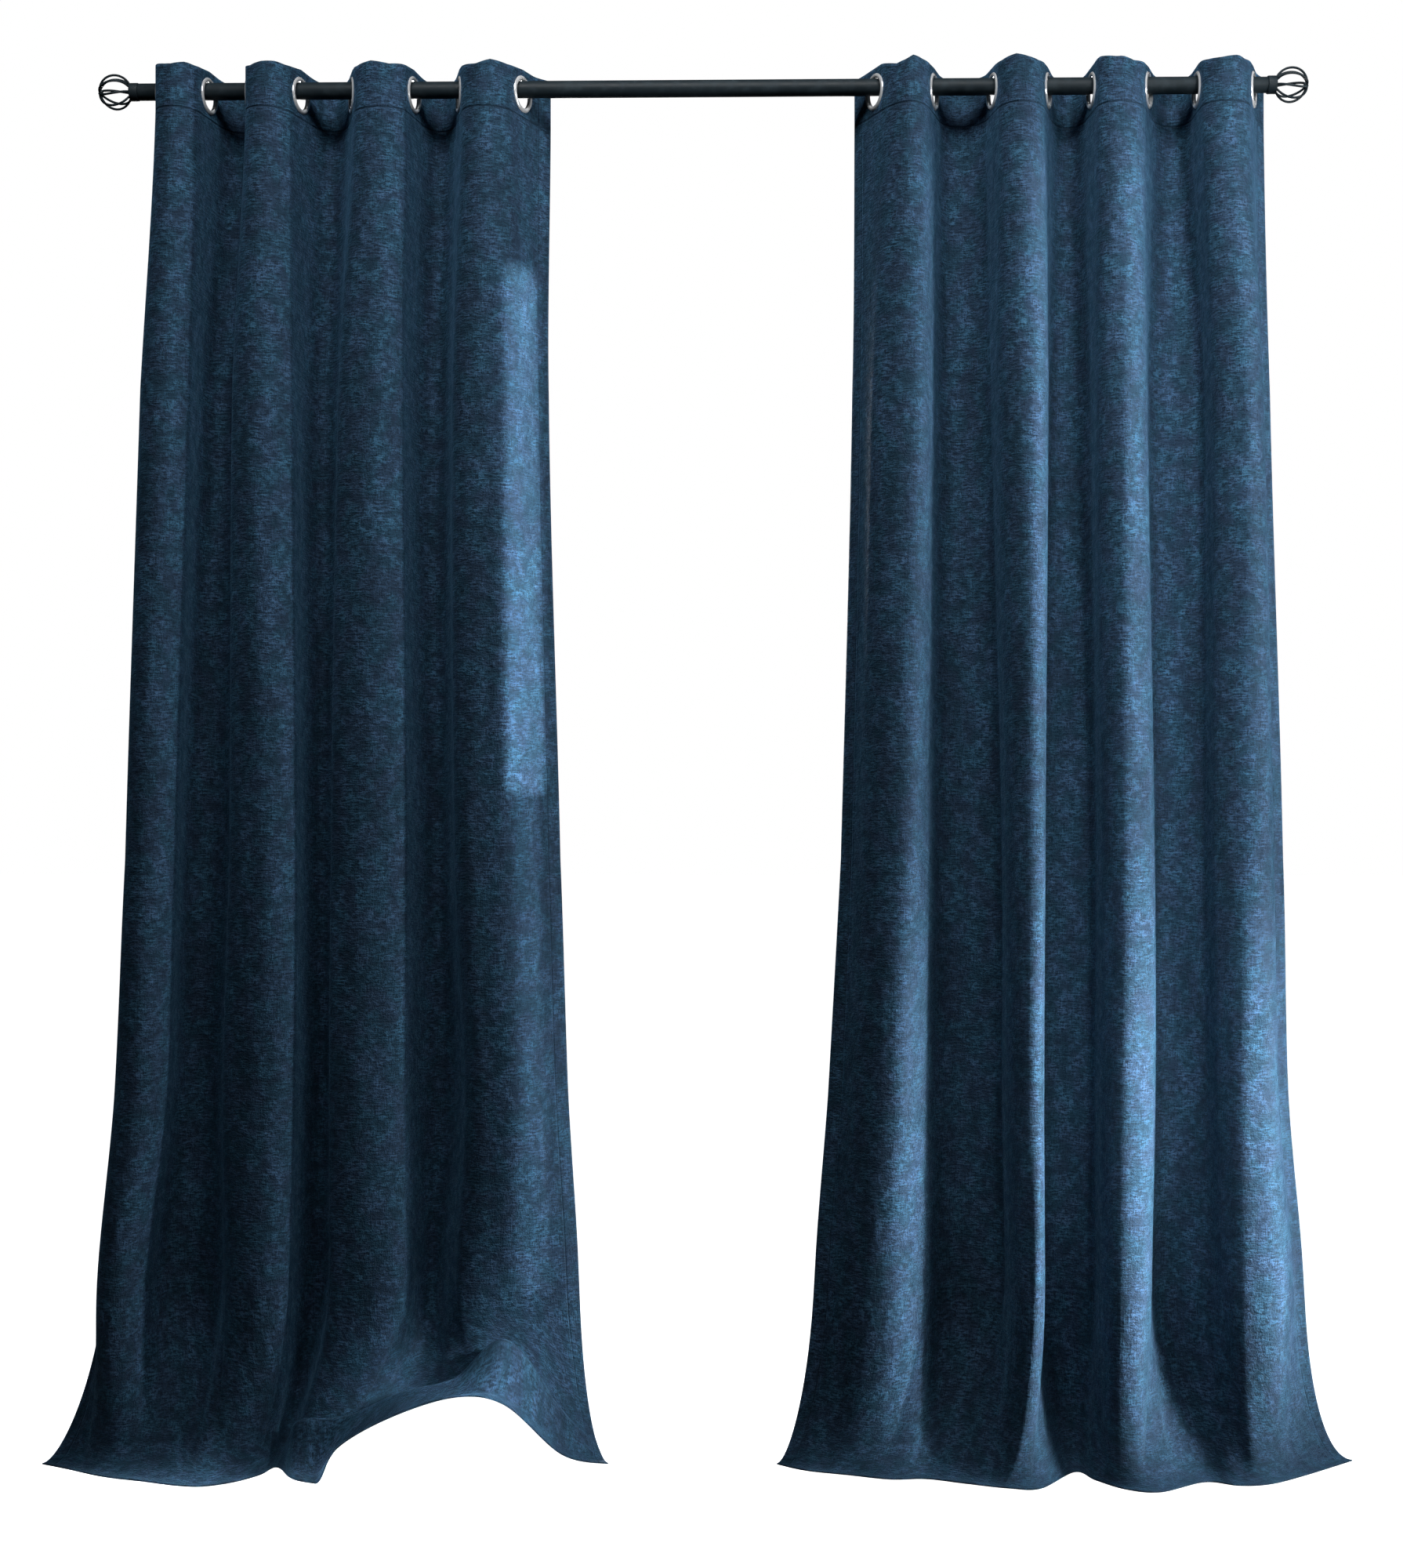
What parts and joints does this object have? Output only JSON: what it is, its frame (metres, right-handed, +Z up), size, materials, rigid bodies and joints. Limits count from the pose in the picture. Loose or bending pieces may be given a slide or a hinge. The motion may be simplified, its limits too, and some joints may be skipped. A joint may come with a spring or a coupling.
{
  "type": "pair of eyelet curtain panels on a curtain rod",
  "caption": "Two floor-length eyelet curtain panels in deep folds, hung on a straight metal rod that ends in wire ball finials.",
  "frame": {"origin": "middle of the curtain rod's axis", "axes": "+X along the rod, to the right seen from the room; +Y away from the room, towards the window; +Z up"},
  "size_m": [1.9539, 0.2339, 2.0806],
  "materials": {
    "cloth": "navy chenille velvet with a mottled nap",
    "black_metal": "satin black paint",
    "bright_metal": "polished"
  },
  "bodies": {
    "root": {"rod": "black_metal", "finial_left": "black_metal", "finial_right": "black_metal", "left_panel": "cloth", "right_panel": "cloth", "eyelet_left_1": "bright_metal", "eyelet_left_2": "bright_metal", "eyelet_left_3": "bright_metal", "eyelet_left_4": "bright_metal", "eyelet_left_5": "bright_metal", "eyelet_left_6": "bright_metal", "eyelet_left_7": "bright_metal", "eyelet_left_8": "bright_metal", "eyelet_right_1": "bright_metal", "eyelet_right_2": "bright_metal", "eyelet_right_3": "bright_metal", "eyelet_right_4": "bright_metal", "eyelet_right_5": "bright_metal", "eyelet_right_6": "bright_metal", "eyelet_right_7": "bright_metal", "eyelet_right_8": "bright_metal"}
  },
  "joints": []
}
